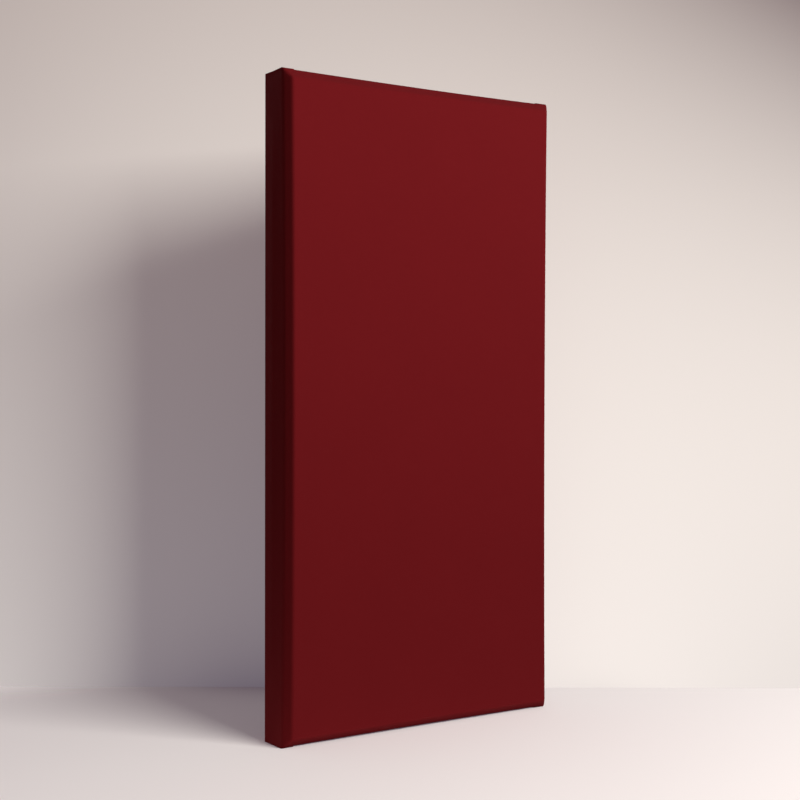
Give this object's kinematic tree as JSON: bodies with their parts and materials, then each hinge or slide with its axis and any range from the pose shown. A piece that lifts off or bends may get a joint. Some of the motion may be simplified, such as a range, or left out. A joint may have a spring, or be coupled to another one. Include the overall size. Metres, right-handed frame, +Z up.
{
  "type": "fabric acoustic wall panel",
  "caption": "Upright rectangular sound-absorbing panel: a soft slab with bevelled front edges on a timber frame, wrapped in one stretched red cloth with folded corners.",
  "frame": {"origin": "middle of the base, at the level of the two folded corners that the panel stands on", "axes": "+Z up along the height, -Y out of the cloth-covered front, +X to the right of someone who faces the front"},
  "size_m": [0.6, 0.08, 1.2],
  "materials": {
    "cover_cloth": "matte",
    "mineral_wool": "matte",
    "timber": "matte",
    "backing_cloth": "matte"
  },
  "bodies": {
    "root": {"fabric_cover": "cover_cloth", "absorber_core": "mineral_wool", "frame_stile_left": "timber", "frame_stile_right": "timber", "frame_rail_top": "timber", "frame_rail_bottom": "timber", "backing_cloth": "backing_cloth"}
  },
  "joints": []
}
